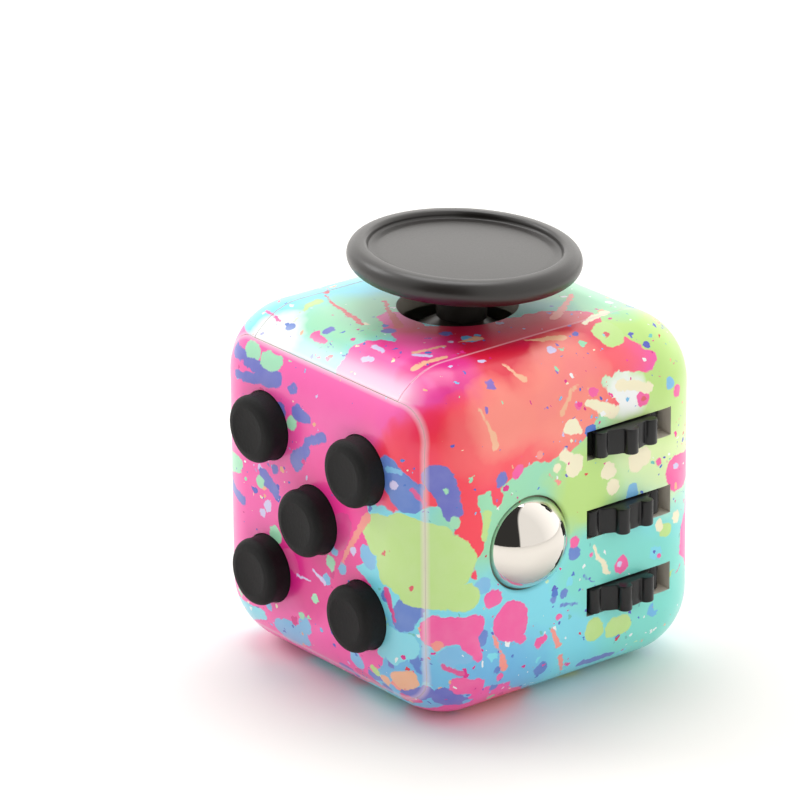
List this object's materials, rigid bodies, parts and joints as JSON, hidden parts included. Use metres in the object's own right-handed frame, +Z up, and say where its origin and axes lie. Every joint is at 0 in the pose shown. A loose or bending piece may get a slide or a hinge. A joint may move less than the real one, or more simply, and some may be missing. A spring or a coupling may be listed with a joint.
{
  "type": "fidget cube",
  "caption": "Rounded hand-size cube with sprung buttons, a roller ball, lobed wheels, a thumb stick, a spin dial, a rocker switch and a thumb dish, one kind on each face.",
  "frame": {"origin": "centre of the cube's bottom face, on the surface it rests on", "axes": "+Z up out of the thumb stick's face, -Y out of the button face, +X out of the face with the ball and wheels"},
  "size_m": [0.038, 0.0374, 0.0393],
  "materials": {
    "shell": "glossy, water-transfer printed with splashes of pink, red, mint, lime, cyan and violet",
    "dish": "satin, thumb-polished in the middle",
    "button_rubber": "matte, fine grain",
    "dome": "thin sprung sheet",
    "board": "glass-fibre board",
    "screws": "zinc plated",
    "wheels": "satin to gloss",
    "steel": "ground",
    "white_plastic": "moulded",
    "ball": "polished",
    "grey_plastic": "moulded",
    "spring_steel": "sprung",
    "dial": "satin",
    "bezel": "fine texture",
    "rocker": "satin",
    "cap": "soft sheen",
    "spindle": "semi-gloss",
    "grommet": "matte"
  },
  "bodies": {
    "casing": {"top_shell": "shell", "bottom_shell": "shell", "roll_cover": "shell", "dial_cover": "shell", "button_panel": "shell", "switch_panel": "shell", "thumb_dish": "dish", "button_dome_upper_left": "dome", "button_dome_upper_right": "dome", "button_dome_centre": "dome", "button_dome_lower_left": "dome", "button_dome_lower_right": "dome", "button_board": "board", "board_screws": "screws", "wheel_axle": "steel", "wheel_bracket": "white_plastic", "bracket_screws": "screws", "ball_click_dome": "dome", "ball_housing": "grey_plastic", "ball_housing_screws": "screws", "dial_click_spring": "spring_steel", "switch_bezel": "bezel", "rocker_pin": "steel", "stick_housing": "grey_plastic", "centring_grommet": "grommet", "stick_screws": "screws"},
    "button_upper_left": {"button_upper_left": "button_rubber"},
    "button_upper_right": {"button_upper_right": "button_rubber"},
    "button_centre": {"button_centre": "button_rubber"},
    "button_lower_left": {"button_lower_left": "button_rubber"},
    "button_lower_right": {"button_lower_right": "button_rubber"},
    "wheel_upper": {"wheel_upper": "wheels"},
    "wheel_middle": {"wheel_middle": "wheels"},
    "wheel_lower": {"wheel_lower": "wheels"},
    "ball_seat": {"ball_cup": "white_plastic"},
    "ball": {"roller_ball": "ball"},
    "dial": {"dial": "dial", "detent_wheel": "white_plastic", "dial_washer": "steel", "dial_screw": "screws"},
    "rocker": {"rocker": "rocker", "rocker_plunger": "white_plastic", "plunger_spring": "spring_steel"},
    "gimbal": {"stick_gimbal": "white_plastic", "gimbal_pin": "steel"},
    "stick": {"stick_cap": "cap", "stick_spindle": "spindle"}
  },
  "joints": [
    {"name": "button_upper_left_press", "type": "slide", "parent": "casing", "child": "button_upper_left", "axis": [0, 1, 0], "range_m": [0, 0.001], "stiffness_N_per_m": 1200, "springref_m": -0.0004, "deforming": ["button_dome_upper_left"]},
    {"name": "button_upper_right_press", "type": "slide", "parent": "casing", "child": "button_upper_right", "axis": [0, 1, 0], "range_m": [0, 0.001], "stiffness_N_per_m": 1200, "springref_m": -0.0004, "deforming": ["button_dome_upper_right"]},
    {"name": "button_centre_press", "type": "slide", "parent": "casing", "child": "button_centre", "axis": [0, 1, 0], "range_m": [0, 0.001], "stiffness_N_per_m": 1200, "springref_m": -0.0004, "deforming": ["button_dome_centre"]},
    {"name": "button_lower_left_press", "type": "slide", "parent": "casing", "child": "button_lower_left", "axis": [0, 1, 0], "range_m": [0, 0.001], "stiffness_N_per_m": 1200, "springref_m": -0.0004, "deforming": ["button_dome_lower_left"]},
    {"name": "button_lower_right_press", "type": "slide", "parent": "casing", "child": "button_lower_right", "axis": [0, 1, 0], "range_m": [0, 0.001], "stiffness_N_per_m": 1200, "springref_m": -0.0004, "deforming": ["button_dome_lower_right"]},
    {"name": "wheel_upper_turn", "type": "hinge", "parent": "casing", "child": "wheel_upper", "pos_m": [0.0131, 0.0057, 0.024], "axis": [0, 0, 1], "continuous": true},
    {"name": "wheel_middle_turn", "type": "hinge", "parent": "casing", "child": "wheel_middle", "pos_m": [0.0131, 0.0057, 0.0165], "axis": [0, 0, 1], "continuous": true},
    {"name": "wheel_lower_turn", "type": "hinge", "parent": "casing", "child": "wheel_lower", "pos_m": [0.0131, 0.0057, 0.009], "axis": [0, 0, 1], "continuous": true},
    {"name": "ball_press", "type": "slide", "parent": "casing", "child": "ball_seat", "axis": [-1, 0, 0], "range_m": [0, 0.0006], "stiffness_N_per_m": 4000, "springref_m": -0.0002, "deforming": ["ball_click_dome"]},
    {"name": "ball_roll", "type": "hinge", "parent": "ball_seat", "child": "ball", "pos_m": [0.0145, -0.0053, 0.0165], "axis": [0, 0, 1], "continuous": true},
    {"name": "dial_spin", "type": "hinge", "parent": "casing", "child": "dial", "pos_m": [-0.0165, 0, 0.0165], "axis": [-1, 0, 0], "continuous": true, "deforming": ["dial_click_spring"]},
    {"name": "rocker_flip", "type": "hinge", "parent": "casing", "child": "rocker", "pos_m": [0, 0.0134, 0.0165], "axis": [1, 0, 0], "range_deg": [0, 24], "deforming": ["plunger_spring"]},
    {"name": "stick_pitch", "type": "hinge", "parent": "casing", "child": "gimbal", "pos_m": [0, 0, 0.025], "axis": [1, 0, 0], "range_deg": [-7.7, 12.3], "stiffness_Nm_per_rad": 0.1, "deforming": ["centring_grommet"]},
    {"name": "stick_roll", "type": "hinge", "parent": "gimbal", "child": "stick", "pos_m": [0, 0, 0.025], "axis": [0, 0.9992, -0.0401], "range_deg": [-11.9, 8.1], "stiffness_Nm_per_rad": 0.1, "deforming": ["centring_grommet"]}
  ]
}
